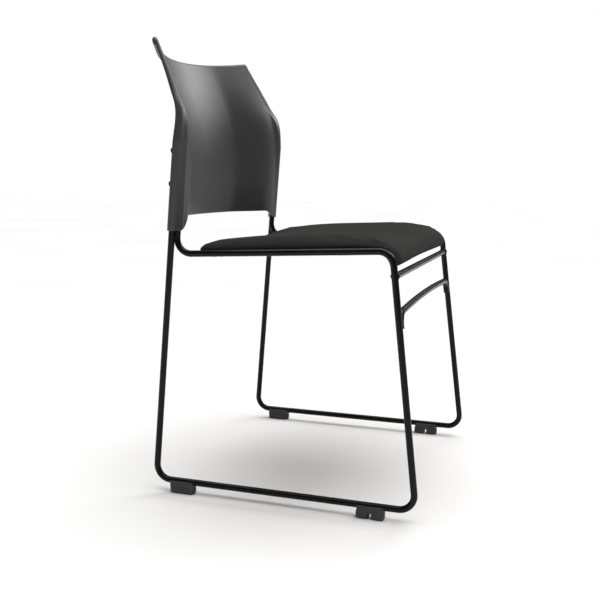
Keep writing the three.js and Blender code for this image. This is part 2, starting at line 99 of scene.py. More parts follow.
def front_leg(z):
    t = (z - RUNNER_Z) / (RAIL_FRONT_Z - RUNNER_Z)
    return Vector((lerp(RUNNER_X, RAIL_X, t), lerp(-RUNNER_Y, RAIL_FRONT_Y, t), z))


def inner_upright(z):
    return rear_leg(z) - Vector((UPRIGHT_STEP_X, UPRIGHT_STEP_Y, 0))


CROSS_LOW, CROSS_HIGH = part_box("front_cross_rod")
SHIFT = (CROSS_LOW.y + CROSS_HIGH.y) / 2 / MM - front_leg(CROSS_ROD_Z).y
RAIL_REAR_Y = inner_upright(RAIL_REAR_Z).y
RAIL_SLOPE = (RAIL_FRONT_Z - RAIL_REAR_Z) / (RAIL_REAR_Y - RAIL_FRONT_Y)
RAIL_MID_Z = RAIL_REAR_Z + RAIL_SLOPE * RAIL_REAR_Y
SEAT_TILT = -math.atan(RAIL_SLOPE)


# ---- Materials -----------------------------------------------------------------------

class Nodes:
    """A material's node tree, with short ways to add and join nodes."""

    def __init__(self, name):
        self.material = bpy.data.materials.new(name)
        self.material.use_nodes = True
        self.tree = self.material.node_tree
        self.shader = self.tree.nodes["Principled BSDF"]
        self.place = self.add("ShaderNodeTexCoord").outputs["Object"]

    def add(self, kind, **settings):
        node = self.tree.nodes.new(kind)
        for key, value in settings.items():
            setattr(node, key, value)
        return node

    def join(self, out, into):
        self.tree.links.new(out, into)

    def noise(self, scale, detail=3.0, stretch=None, rough=0.55):
        node = self.add("ShaderNodeTexNoise")
        node.inputs["Scale"].default_value = scale
        node.inputs["Detail"].default_value = detail
        node.inputs["Roughness"].default_value = rough
        source = self.place
        if stretch:
            mapping = self.add("ShaderNodeMapping")
            mapping.inputs["Scale"].default_value = stretch
            self.join(source, mapping.inputs["Vector"])
            source = mapping.outputs["Vector"]
        self.join(source, node.inputs["Vector"])
        return node.outputs["Fac"]

    def ramp(self, value, *stops):
        node = self.add("ShaderNodeValToRGB")
        elements = node.color_ramp.elements
        while len(elements) < len(stops):
            elements.new(0.5)
        for element, (at, colour) in zip(elements, stops):
            element.position = at
            element.color = (*colour, 1) if len(colour) == 3 else colour
        self.join(value, node.inputs["Fac"])
        return node.outputs["Color"]

    def spread(self, value, low, high, from_low=0.3, from_high=0.7):
        node = self.add("ShaderNodeMapRange")
        node.inputs["From Min"].default_value = from_low
        node.inputs["From Max"].default_value = from_high
        node.inputs["To Min"].default_value = low
        node.inputs["To Max"].default_value = high
        self.join(value, node.inputs["Value"])
        return node.outputs["Result"]

    def math(self, operation, first, second=None):
        node = self.add("ShaderNodeMath", operation=operation)
        for slot, value in zip(node.inputs, (first, second)):
            if isinstance(value, (int, float)):
                slot.default_value = value
            elif value is not None:
                self.join(value, slot)
        return node.outputs["Value"]

    def mix(self, factor, first, second, blend="MIX"):
        node = self.add("ShaderNodeMix", data_type="RGBA", blend_type=blend)
        for slot, value in zip((node.inputs[0], node.inputs[6], node.inputs[7]),
                               (factor, first, second)):
            if isinstance(value, (int, float)):
                slot.default_value = value
            elif isinstance(value, tuple):
                slot.default_value = (*value, 1)
            else:
                self.join(value, slot)
        return node.outputs[2]

    def bump(self, height, distance, strength=1.0, under=None):
        node = self.add("ShaderNodeBump")
        node.inputs["Distance"].default_value = distance
        node.inputs["Strength"].default_value = strength
        self.join(height, node.inputs["Height"])
        if under is not None:
            self.join(under, node.inputs["Normal"])
        return node.outputs["Normal"]

    def finish(self, colour, roughness, normal, **sockets):
        self.join(colour, self.shader.inputs["Base Color"])
        self.join(roughness, self.shader.inputs["Roughness"])
        self.join(normal, self.shader.inputs["Normal"])
        for name, value in sockets.items():
            self.shader.inputs[name.replace("_", " ")].default_value = value
        return self.material


def powder_coat():
    n = Nodes("powder_coat")
    patches = n.noise(24, 2)
    peel = n.noise(1300, 2)
    scuffs = n.noise(160, 6, (1, 1, 0.35), 0.75)
    colour = n.ramp(patches, (0.3, (0.0026, 0.0028, 0.0033)), (0.7, (0.0042, 0.0045, 0.0052)))
    worn = n.ramp(scuffs, (0.66, (0, 0, 0)), (0.78, (1, 1, 1)))
    colour = n.mix(n.math("MULTIPLY", worn, 0.35), colour, (0.017, 0.0175, 0.019))
    roughness = n.math("ADD", n.spread(patches, 0.19, 0.27), n.math("MULTIPLY", worn, 0.12))
    normal = n.bump(peel, 0.00006, 0.6, n.bump(patches, 0.0002, 0.25))
    return n.finish(colour, roughness, normal, Specular_IOR_Level=0.18)


def shell_plastic():
    n = Nodes("shell_plastic")
    clouds = n.noise(9, 2)
    grain = n.noise(2200, 3, None, 0.6)
    pebble = n.add("ShaderNodeTexVoronoi", feature="SMOOTH_F1")
    pebble.inputs["Scale"].default_value = 1500
    n.join(n.place, pebble.inputs["Vector"])
    colour = n.ramp(clouds, (0.3, (0.034, 0.034, 0.037)), (0.7, (0.042, 0.042, 0.045)))
    colour = n.mix(n.spread(grain, 0.0, 0.35), colour, (0.052, 0.052, 0.056))
    rubbed = n.ramp(n.noise(60, 5, (1, 1, 0.3), 0.7), (0.55, (0, 0, 0)), (0.75, (1, 1, 1)))
    roughness = n.math("SUBTRACT", n.spread(grain, 0.40, 0.50), n.math("MULTIPLY", rubbed, 0.04))
    normal = n.bump(grain, 0.00005, 0.5, n.bump(pebble.outputs["Distance"], 0.00008, 0.5))
    return n.finish(colour, roughness, normal)


def glide_plastic():
    n = Nodes("glide_plastic")
    grain = n.noise(900, 4, None, 0.7)
    dust = n.ramp(n.noise(45, 5), (0.5, (0, 0, 0)), (0.75, (1, 1, 1)))
    colour = n.ramp(grain, (0.3, (0.026, 0.025, 0.030)), (0.7, (0.040, 0.039, 0.045)))
    colour = n.mix(n.math("MULTIPLY", dust, 0.3), colour, (0.075, 0.072, 0.072))
    return n.finish(colour, n.spread(grain, 0.42, 0.6), n.bump(grain, 0.00012, 0.6))


def upholstery():
    """A tight basket weave. The map named weave holds distances over the cloth, in metres."""
    n = Nodes("upholstery")
    weave = n.add("ShaderNodeUVMap", uv_map="weave").outputs["UV"]
    apart = n.add("ShaderNodeSeparateXYZ")
    n.join(weave, apart.inputs["Vector"])
    pitch = 1 / 0.0011
    across, along = (n.math("MULTIPLY", apart.outputs[k], pitch) for k in (0, 1))
    wobble = n.noise(420, 2)
    across = n.math("ADD", across, n.math("MULTIPLY", wobble, 0.35))

    def hump(value):
        return n.math("ABSOLUTE", n.math("SINE", n.math("MULTIPLY", value, math.pi)))

    over = n.math("MODULO", n.math("ADD", n.math("FLOOR", across), n.math("FLOOR", along)), 2.0)
    over = n.math("ABSOLUTE", over)
    warp = n.math("MULTIPLY", n.math("POWER", hump(along), 0.6), hump(across))
    weft = n.math("MULTIPLY", n.math("POWER", hump(across), 0.6), hump(along))
    yarn = n.math("ADD", n.math("MULTIPLY", warp, over),
                  n.math("MULTIPLY", weft, n.math("SUBTRACT", 1.0, over)))
    fleck = n.noise(700, 3, None, 0.7)
    clouds = n.noise(14, 3)
    base = n.mix(over, (0.034, 0.0345, 0.0325), (0.046, 0.046, 0.0435))
    base = n.mix(n.spread(fleck, 0.0, 0.7, 0.45, 0.8), base, (0.078, 0.077, 0.072))
    base = n.mix(n.spread(clouds, 0.0, 0.3), base, (0.030, 0.0295, 0.028))
    # Painted shade: the colour is multiplied down to 0.45 in the gaps between the yarns, where the
    # yarn height is lowest.
    yarn_gap_shade = n.spread(yarn, 0.45, 1.0, 0.0, 0.9)
    together = n.add("ShaderNodeCombineColor")
    for slot in together.inputs[:3]:
        n.join(yarn_gap_shade, slot)
    colour = n.mix(1.0, base, together.outputs["Color"], "MULTIPLY")
    normal = n.bump(yarn, 0.0002, 0.7, n.bump(clouds, 0.0006, 0.2))
    return n.finish(colour, n.spread(fleck, 0.82, 0.95), normal, Specular_IOR_Level=0.04)


def plywood():
    n = Nodes("plywood")
    grain = n.noise(60, 6, (0.25, 6.0, 1.0), 0.6)
    pores = n.noise(900, 2, (0.06, 1.0, 1.0))
    colour = n.ramp(grain, (0.3, (0.36, 0.21, 0.10)), (0.5, (0.50, 0.32, 0.16)),
                    (0.7, (0.60, 0.41, 0.22)))
    colour = n.mix(n.spread(pores, 0.0, 0.45, 0.55, 0.75), colour, (0.22, 0.12, 0.05))
    return n.finish(colour, n.spread(grain, 0.55, 0.75), n.bump(grain, 0.0003, 0.5))


def metal(name, dark, light, rough):
    """Scratched metal in patches from dark to light."""
    n = Nodes(name)
    patches = n.noise(300, 4)
    colour = n.ramp(patches, (0.3, dark), (0.7, light))
    scratches = n.noise(1600, 3, (1, 0.15, 1))
    return n.finish(colour, n.spread(scratches, rough - 0.06, rough + 0.12),
                    n.bump(scratches, 0.00003, 0.5), Metallic=0.9)


LOOKS = {
    "powder_coat": powder_coat(),
    "shell_plastic": shell_plastic(),
    "glide_plastic": glide_plastic(),
    "upholstery": upholstery(),
    "plywood": plywood(),
    "black_screw": metal("black_screw", (0.03, 0.03, 0.032), (0.055, 0.055, 0.06), 0.34),
    "zinc_nut": metal("zinc_nut", (0.45, 0.46, 0.47), (0.62, 0.63, 0.64), 0.3),
}


# ---- Making pieces -------------------------------------------------------------------

def piece(name, points, faces, slot, *replaced, sharp=40):
    """A mesh in millimetres as a piece that rides on the chair."""
    placed = (np.asarray([tuple(p) for p in points], float) + (0, SHIFT, 0)) * MM
    mesh = bpy.data.meshes.new(name)
    mesh.from_pydata(placed.tolist(), [], faces)
    mesh.validate()
    mesh.polygons.foreach_set("use_smooth", [True] * len(mesh.polygons))
    mesh.set_sharp_from_angle(angle=math.radians(sharp))
    mesh.materials.append(LOOKS[slot])
    made = bpy.data.objects.new(name, mesh)
    bpy.context.scene.collection.objects.link(made)
    return declare(made, slot, *replaced)


def declare(made, slot, *replaced):
    """Tells the frame where a piece rides and hides the CAD nodes it replaces. The slot argument is
    not used.
    """
    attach(made, "root")
    if replaced:
        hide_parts(*replaced)
    return made


def loft(rings, capped=True):
    """Points and faces of a skin over closed rings that all have the same count."""
    count = len(rings[0])
    points = [tuple(p) for ring in rings for p in ring]
    faces = []
    for i in range(len(rings) - 1):
        for j in range(count):
            a, b = i * count + j, i * count + (j + 1) % count
            faces.append((a, b, b + count, a + count))
    if capped:
        faces.append(tuple(reversed(range(count))))
        faces.append(tuple(range((len(rings) - 1) * count, len(rings) * count)))
    return points, faces


def together(parts):
    """Several (points, faces) as one."""
    points, faces = [], []
    for more_points, more_faces in parts:
        base = len(points)
        points += list(more_points)
        faces += [tuple(i + base for i in face) for face in more_faces]
    return points, faces


def bent_path(corners, radius, steps=12):
    """Straight runs between corners, with a round bend at each."""
    path = [corners[0].copy()]
    for before, corner, after in zip(corners, corners[1:], corners[2:]):
        back, ahead = (before - corner).normalized(), (after - corner).normalized()
        half = back.angle(ahead) / 2
        centre = corner + (back + ahead).normalized() * radius / math.sin(half)
        start = corner + back * radius / math.tan(half) - centre
        end = corner + ahead * radius / math.tan(half) - centre
        axis = start.cross(end).normalized()
        for k in range(steps + 1):
            turn = Matrix.Rotation(start.angle(end) * k / steps, 3, axis)
            path.append(centre + turn @ start)
    path.append(corners[-1].copy())
    return path


def tube(path, radius, sides=28, lump=0.0, seed=0):
    """A round rod along a path. With lump its radius varies, as a weld bead's does."""
    rng = random.Random(seed)
    side, rings = None, []
    for i, point in enumerate(path):
        tangent = (path[min(i + 1, len(path) - 1)] - path[max(i - 1, 0)]).normalized()
        guess = side or (Vector((0, 0, 1)) if abs(tangent.x) > 0.9 else Vector((1, 0, 0)))
        side = (guess - tangent * guess.dot(tangent)).normalized()
        up = tangent.cross(side)
        size = radius * (1 + lump * rng.uniform(-1, 1))
        rings.append([point + side * size * math.cos(a) + up * size * math.sin(a)
                      for a in (2 * math.pi * k / sides for k in range(sides))])
    return loft(rings)


def mirrored(vector, side):
    return Vector((side * vector.x, vector.y, vector.z))


SIDES = {"left": 1, "right": -1}


# ---- Frame ---------------------------------------------------------------------------

def side_rod(name, side):
    corners = [inner_upright(UPRIGHT_TOP_Z), inner_upright(RAIL_REAR_Z),
               Vector((RAIL_X, RAIL_FRONT_Y, RAIL_FRONT_Z)),
               Vector((RUNNER_X, -RUNNER_Y, RUNNER_Z)), Vector((RUNNER_X, RUNNER_Y, RUNNER_Z)),
               rear_leg(UPRIGHT_TOP_Z)]
    path = bent_path([mirrored(c, side) for c in corners], BEND_R)
    piece(f"rod_{name}", *tube(path, ROD_R), "powder_coat", f"side_frame_{name}")


def cross_rod():
    end = front_leg(CROSS_ROD_Z) - Vector((ROD_R * 0.75, 0, 0))
    path = [mirrored(end, -1).lerp(end, k / 8) for k in range(9)]
    piece("cross_rod", *tube(path, ROD_R), "powder_coat", "front_cross_rod")


def brace_half():
    """The brace from its foot to the middle, on the sitter's left."""
    inset = Vector((2 * ROD_R + 0.1, 0, 0))
    crown_y = front_leg(BRACE_Z).y
    crown = []
    for k in range(12):
        t = 0.9 * (1 - k / 12)
        z = BRACE_Z + BRACE_RISE * (1 - t * t)
        crown.append(Vector((t * front_leg(z).x, crown_y, z)))
    foot = [front_leg(BRACE_FOOT_Z) - inset, front_leg(BRACE_Z) - inset]
    return bent_path([*foot, crown[0]], BRACE_CORNER_R, 10)[:-1] + crown


def arch_brace():
    half = brace_half()
    middle = Vector((0, front_leg(BRACE_Z).y, BRACE_Z + BRACE_RISE))
    path = half + [middle] + [mirrored(p, -1) for p in reversed(half)]
    piece("arch_brace", *tube(path, ROD_R), "powder_coat", "front_arch_brace")


def rod_end_bead(z, side, seed):
    """A weld bead where the cross rod's end meets the front leg."""
    centre, path = front_leg(z), []
    for k in range(37):
        a = 2 * math.pi * k / 36
        sideways = (ROD_R + 0.5) * math.cos(a)
        reach = math.sqrt(max((ROD_R + 0.6) ** 2 - sideways ** 2, 0.0))
        path.append(Vector((side * (centre.x - reach), centre.y + sideways,
                            z + (ROD_R + 0.5) * math.sin(a))))
    return tube(path, 1.5, 8, 0.14, seed)


def line_bead(start, end, radius, seed):
    count = max(int((end - start).length / 1.3), 3)
    return tube([start.lerp(end, k / count) for k in range(count + 1)], radius, 8, 0.16, seed)


def twin_beads(first, second, low, high, side, seed):
    """Beads in both valleys between two rods that run side by side from low to high."""
    beads = []
    for k, way in enumerate((-1, 1)):
        ends = []
        for z in (low, high):
            a, b = first(z), second(z)
            across = (b - a).normalized()
            out = Vector((-across.y, across.x, 0)) * way * 3.6
            ends.append(mirrored((a + b) / 2 + out, side))
        beads.append(line_bead(*ends, 2.0, seed + k))
    return beads


def seat_place(point):
    """From the seat's own frame, which lies along the tilted rails."""
    return Matrix.Rotation(SEAT_TILT, 3, "X") @ Vector(point) + Vector((0, 0, RAIL_MID_Z))


def dish(x):
    return -DISH_DEPTH * np.cos(np.minimum(np.abs(x) / DISH_HALF_X, 1) * np.pi / 2) ** 2


def strap_beads(y, seed):
    beads = []
    half = inner_upright(RAIL_REAR_Z).x - ROD_R + 0.6
    for k, side in enumerate((-1, 1)):
        for height in (STRAP_LOW - 0.3, STRAP_LOW + STRAP_THICK + 0.2):
            start, end = (seat_place((side * half, y + step, height))
                          for step in (-STRAP_WIDTH / 2 + 2, STRAP_WIDTH / 2 - 2))
            beads.append(line_bead(start, end, 1.7, seed + k))
    return beads


def welds():
    beads = []
    for k, side in enumerate(SIDES.values()):
        beads.append(rod_end_bead(CROSS_ROD_Z, side, 10 + k))
        beads += twin_beads(
            front_leg, lambda z: front_leg(z) - Vector((2 * ROD_R, 0, 0)),
            BRACE_FOOT_Z + 1, BRACE_FOOT_Z + 15, side, 20 + 4 * k)
        beads += twin_beads(rear_leg, inner_upright, 441, 453, side, 30 + 4 * k)
    for k, y in enumerate(SEAT_SCREW_Y.values()):
        beads += strap_beads(y, 40 + 4 * k)
    piece("weld_beads", *together(beads), "powder_coat", sharp=80)


# ---- Back shell ----------------------------------------------------------------------

def edge_samples():
    """Centripetal Catmull-Rom curve through the shell's side edge, closely sampled."""
    points = [np.array(p) for p in SHELL_EDGE]
    points = [2 * points[0] - points[1], *points, 2 * points[-1] - points[-2]]
    samples = []
    for p0, p1, p2, p3 in zip(points, points[1:], points[2:], points[3:]):
        t = [0.0]
        for a, b in ((p0, p1), (p1, p2), (p2, p3)):
            t.append(t[-1] + math.sqrt(np.linalg.norm(b - a)))
        for k in range(40):
            s = lerp(t[1], t[2], k / 40)
            a1 = lerp(p0, p1, (s - t[0]) / (t[1] - t[0]))
            a2 = lerp(p1, p2, (s - t[1]) / (t[2] - t[1]))
            a3 = lerp(p2, p3, (s - t[2]) / (t[3] - t[2]))
            b1 = lerp(a1, a2, (s - t[0]) / (t[2] - t[0]))
            b2 = lerp(a2, a3, (s - t[1]) / (t[3] - t[1]))
            samples.append(lerp(b1, b2, (s - t[1]) / (t[2] - t[1])))
    samples.append(points[-2])
    return np.array(samples)


EDGE = edge_samples()
EDGE_RUN = np.concatenate([[0], np.cumsum(np.linalg.norm(np.diff(EDGE, axis=0), axis=1))])
EDGE_LENGTH = EDGE_RUN[-1]


def shell_edge(v):
    return np.array([np.interp(v * EDGE_LENGTH, EDGE_RUN, EDGE[:, k]) for k in range(3)])


def shell_depth(u, v):
    """How deep the face is hollowed, as a share of the sag: flat wings low, a plain arc on top."""
    arc = 1 - u * u
    flank = 1 - smooth(WING_FROM, WING_TO, abs(u))
    tub = flank * (1 - 0.9 * u * u) - 0.035 * (1 - flank)
    return lerp(tub, arc, 0.85 * smooth(0.15, 1.0, v))


def shell_face(u, v):
    """The front face: u from -1 to 1 across it, v from 0 at its foot to 1 along its top."""
    edge = shell_edge(v)
    sag = WAIST_Y + WAIST_BOW * (edge[2] - WAIST_Z) ** 2 - edge[1]
    foot = FOOT_RAISE * (1 - smooth(0.80, 0.93, abs(u))) * (1 - v) ** 6
    dip = TOP_DIP * (1 - u * u) * v * v
    return np.array([u * edge[0], edge[1] + sag * shell_depth(u, v), edge[2] + foot - dip])


def shell_rear(u, v):
    """The unit normal of the shell that points rearwards."""
    low, high = max(v - SHELL_TINY, 0), min(v + SHELL_TINY, 1)
    across = shell_face(u + SHELL_TINY, v) - shell_face(u - SHELL_TINY, v)
    up = shell_face(u, high) - shell_face(u, low)
    normal = np.cross(up, across)
    return normal / np.linalg.norm(normal)


def shell_up(u, v):
    """The unit direction up the shell's face."""
    up = shell_face(u, v) - shell_face(u, v - SHELL_TINY)
    return up / np.linalg.norm(up)


def top_lip():
    """The rolled lip: an oval bead along the whole top edge, rounded off at both ends."""
    width, half, rings, count, sides = SHELL_EDGE[-1][0], LIP_HEIGHT / 2, [], 120, 28
    for k in range(count + 1):
        even = 2 * k / count - 1
        u = 0.9985 * (even + math.sin(math.pi / 2 * even)) / 2
        left = max((1 - abs(u)) * width, 0.05)
        swell = math.sqrt(max(1 - (1 - min(left / LIP_END_R, 1)) ** 2, 0.02))
        point, rear, up = shell_face(u, 1), shell_rear(u, 1), shell_up(u, 1)
        turns = [2 * math.pi * j / sides for j in range(sides)]
        rings.append([point + rear * (LIP_HALF + 0.1 + swell * LIP_HALF * math.cos(a))
                      + up * (swell * half * math.sin(a) - half + 0.3) for a in turns])
    return loft(rings)


def hermite(p0, t0, p1, t1, count):
    """Points strictly between p0 and p1 on a smooth curve."""
    out = []
    for k in range(1, count + 1):
        t = k / (count + 1)
        out.append((2 * t**3 - 3 * t**2 + 1) * p0 + (t**3 - 2 * t**2 + t) * t0
                   + (3 * t**2 - 2 * t**3) * p1 + (t**3 - t**2) * t1)
    return out


def shell_half_outline(v):
    """Half of one level's outline, from the middle of the front to the middle of the rear."""
    edge = shell_edge(v)
    z = edge[2]
    fade = float(smooth(UPRIGHT_TOP_Z - 10, UPRIGHT_TOP_Z + 80, z))
    past = min(max(z - TAPER_FROM, 0) / (SHELL_EDGE[-1][2] - TAPER_FROM), 1)
    radius = lerp(SLEEVE_R, TAPER_TIP, past ** 0.85)

    def on_plate(u, depth):
        return shell_face(u, v) + depth * shell_rear(u, v)

    plate_outer = on_plate(1 - radius / edge[0], radius)
    plate_inner = on_plate(1 - 2.4 * radius / edge[0], radius)
    outer = lerp(np.array(rear_leg(z)), plate_outer, fade)
    inner = lerp(np.array(inner_upright(z)), plate_inner, fade)

    def on_circle(centre, angle, size=radius):
        return centre + size * np.array([math.cos(angle), math.sin(angle), 0])

    normal = shell_rear(0.92, v)
    front_angle = math.atan2(-normal[1], -normal[0])
    line = outer - inner
    tangent_angle = math.atan2(line[1], line[0]) - math.pi / 2
    rear_angle = lerp(math.radians(98), math.atan2(normal[1], normal[0]), fade)

    join_u = lerp(0.90, 1 - 3.6 * radius / edge[0], fade)
    points = [on_plate(join_u * k / PLATE_STEPS, 0) for k in range(PLATE_STEPS + 1)]
    start, end = points[-1], on_circle(inner, front_angle)
    reach = np.linalg.norm(end - start)
    leave = start - on_plate(join_u - 0.02, 0)
    leave /= np.linalg.norm(leave)
    arrive = np.array([-math.sin(front_angle), math.cos(front_angle), 0])
    bridge = hermite(start, leave * reach, end, arrive * reach * 0.9, 5)
    for k, point in enumerate(bridge):
        point[2] = lerp(start[2], end[2], smooth(0, 1, (k + 1) / 6))
    points += bridge
    points += [on_circle(inner, lerp(front_angle, tangent_angle, k / 4)) for k in range(5)]
    groove = (1 - fade) * 0.8
    for k in (1, 2, 3):
        between = lerp(on_circle(inner, tangent_angle), on_circle(outer, tangent_angle), k / 4)
        dent = groove * (1.0 if k == 2 else 0.6)
        points.append(on_circle(between, tangent_angle, -dent))
    points += [on_circle(outer, lerp(tangent_angle, rear_angle, k / 13)) for k in range(14)]

    back_u = lerp(0.84, 1 - 5.5 * radius / edge[0], fade)
    rear_points = [on_plate(back_u * k / PLATE_STEPS, SHELL_THICK)
                   for k in range(PLATE_STEPS + 1)]
    start, end = points[-1], rear_points[-1]
    reach = np.linalg.norm(end - start)
    leave = np.array([-math.sin(rear_angle), math.cos(rear_angle), 0])
    arrive = on_plate(back_u - 0.02, SHELL_THICK) - end
    arrive /= np.linalg.norm(arrive)
    bridge = hermite(start, leave * reach * 0.7, end, arrive * reach * 0.8, 8)
    for k, point in enumerate(bridge):
        point[2] = lerp(start[2], end[2], smooth(0, 1, (k + 1) / 9))
    return points + bridge + rear_points[::-1]


def shell_loop(v, inset):
    """One level's whole outline, drawn in by inset."""
    half = np.array(shell_half_outline(v))
    if inset:
        tangent = np.gradient(half, axis=0)
        tangent[0], tangent[-1] = (1, 0, 0), (-1, 0, 0)
        out = np.stack([tangent[:, 1], -tangent[:, 0], np.zeros(len(half))], axis=1)
        out /= np.linalg.norm(out, axis=1)[:, None]
        half = half - inset * out
    other = half[1:-1][::-1] * (-1, 1, 1)
    return np.concatenate([half, other])


def back_shell():
    """A skin over every level's outline, closed at both ends across its thickness."""
    foot = [(0.0, 1.1), (0.5, 0.45), (1.4, 0.1), (3.0, 0.0)]
    levels = [(run / EDGE_LENGTH, inset) for run, inset in foot]
    runs = np.linspace(8.0, EDGE_LENGTH - 5.0, SHELL_ROWS + 1)
    levels += [(run / EDGE_LENGTH, 0.0) for run in runs]
    loops = [shell_loop(*level) for level in levels]
    points, faces = loft(loops, capped=False)
    count, last = len(loops[0]), len(loops[0]) // 2
    top = (len(loops) - 1) * count
    for base, flip in ((0, True), (top, False)):
        for k in range(last // 2):
            front, rear = (k, k + 1), (last - k - 1, last - k)
            ends = [front + rear, tuple((count - i) % count for i in (front + rear)[::-1])]
            for face in ends:
                face = tuple(base + i for i in dict.fromkeys(face))
                faces.append(face[::-1] if flip else face)
    points, faces = together([(points, faces), top_lip()])
    piece("shell", points, faces, "shell_plastic", "back_shell", sharp=50)


# ---- Screws --------------------------------------------------------------------------

def pan_screw(place, turn, head_r, head_h, shank_r, length):
    """A domed head with a hexagon socket below z = 0, and its shank above."""
    def ring(radius, z, hexagon=False):
        out = []
        for k in range(36):
            a = 2 * math.pi * k / 36
            grow = 1.0
            if hexagon:
                grow = math.cos(math.pi / 6) / math.cos((a % (math.pi / 3)) - math.pi / 6)
            out.append((radius * grow * math.cos(a), radius * grow * math.sin(a), z))
        return out

    socket = head_r * 0.46
    rings = [ring(socket * 0.96, -head_h * 0.35, True), ring(socket, -head_h * 0.97, True),
             ring(socket * 1.12, -head_h)]
    rings += [ring(head_r * math.sin(t), -head_h * (0.25 + 0.75 * math.cos(t)))
              for t in np.linspace(0.75, math.pi / 2, 7)]
    rings += [ring(head_r, -head_h * 0.08), ring(head_r * 0.97, 0), ring(shank_r, 0),
              ring(shank_r, length - 1), ring(shank_r * 0.6, length)]
    points, faces = loft(rings)
    return [turn @ Vector(p) + place for p in points], faces


def back_screws():
    turn = Matrix.Rotation(math.pi / 2, 3, "X")
    for name, side in SIDES.items():
        for level, z in BACK_SCREW_Z.items():
            at = mirrored(rear_leg(z), side) + Vector((0, SLEEVE_R - 0.3, 0))
            piece(f"screw_back_{level}_{name}", *pan_screw(at, turn, 4.6, 2.6, 1.9, 12),
                  "black_screw", f"back_screw_{level}_{name}")


def seat_screws():
    turn = Matrix.Rotation(SEAT_TILT, 3, "X")
    for name, side in SIDES.items():
        for end, y in SEAT_SCREW_Y.items():
            x = side * SEAT_SCREW_X
            at = seat_place((x, y, STRAP_LOW + float(dish(x)) - 0.35))
            piece(f"screw_seat_{end}_{name}", *pan_screw(at, turn, 5.0, 2.8, 2.4, 10.5),
                  "black_screw", f"seat_screw_{end}_{name}")


# ---- Glides --------------------------------------------------------------------------

def pill(half_x, half_y, corner, z, centre_y=0.0):
    """A rounded rectangle of points at one height."""
    out = []
    for k in range(4):
        side_x, side_y = ((1, 1), (-1, 1), (-1, -1), (1, -1))[k]
        for j in range(9):
            a = math.pi / 2 * (k + j / 8)
            out.append((side_x * (half_x - corner) + corner * math.cos(a),
                        centre_y + side_y * (half_y - corner) + corner * math.sin(a), z))
    return out


def puck(half_x, half_y, corner, low, high, foot, centre_y=0.0):
    """A block with a rounded foot and eased top."""
    rings = [pill(half_x - foot * (1 - math.sin(t)), half_y - foot * (1 - math.sin(t)),
                  max(corner - foot * (1 - math.sin(t)), 0.6),
                  low + foot * (1 - math.cos(t)) * 0.8, centre_y)
             for t in np.linspace(0, math.pi / 2, 6)]
    rings += [pill(half_x, half_y, corner, high - 0.8, centre_y),
              pill(half_x - 0.25, half_y - 0.25, corner - 0.2, high - 0.25, centre_y),
              pill(half_x - 0.8, half_y - 0.8, corner - 0.6, high, centre_y)]
    return loft(rings)


def glides():
    half = GLIDE_LENGTH / 2
    for name, side in SIDES.items():
        for end, y in GLIDE_Y.items():
            saddle = puck(GLIDE_HALF_X - 0.7, half - 1.6, 2.2, 9.5, RUNNER_Z + 0.6, 0.8)
            if end == "rear":
                lower = [puck(GLIDE_HALF_X, half, 7.6, 0, 12.2, 4.4)]
            else:
                lobe = (half - 1.9) / 2
                lower = [puck(GLIDE_HALF_X, lobe, 4.8, 0, 12.2, 3.4, way * (lobe + 1.9))
                         for way in (-1, 1)]
            points, faces = together([saddle, *lower])
            points = [(p[0] + side * RUNNER_X, p[1] + y, p[2]) for p in points]
            piece(f"foot_{end}_{name}", points, faces, "glide_plastic", f"glide_{end}_{name}",
                  sharp=55)


# ---- Seat ----------------------------------------------------------------------------

def seat_points(x, s, n):
    """Points of the seat: flat behind BEND_AT, turned down in front of it, n above the rails."""
    past = np.maximum(BEND_AT - s, 0)
    turn = np.minimum(past / BEND_RADIUS, BEND_TURN)
    rest = past - turn * BEND_RADIUS
    reach = BEND_RADIUS + n + dish(x)
    y = np.maximum(s, BEND_AT) - reach * np.sin(turn) - rest * np.cos(turn)
    z = reach * np.cos(turn) - BEND_RADIUS - rest * np.sin(turn)
    return np.stack([x, y, z], axis=-1)


def edge_gap(x, s):
    """Distance in from the pad's side and rear edges, with round rear corners."""
    over_x, over_s = np.abs(x) - (PAD_HALF_X - PAD_CORNER_R), s - (PAD_REAR - PAD_CORNER_R)
    in_corner = PAD_CORNER_R - np.hypot(over_x, over_s)
    straight = PAD_CORNER_R - np.maximum(over_x, over_s)
    return np.where((over_x > 0) & (over_s > 0), in_corner, straight)


def crown(x, s):
    def rounded(gap, run):
        return np.sqrt(np.maximum(0, 1 - (1 - np.clip(gap / run, 0, 1)) ** 2))

    dome = PAD_CROWN - 9.5 * (np.maximum(s - 10, 0) / 150) ** 2
    front = 3.4 * (1 - smooth(BEND_AT - 10, BEND_AT + 40, s))
    edges = rounded(edge_gap(x, s), 21)
    toe = rounded(s - (BEND_AT - PAD_FRONT), 6)
    return PAD_RIM + (dome - front - PAD_RIM) * np.minimum(edges, toe)


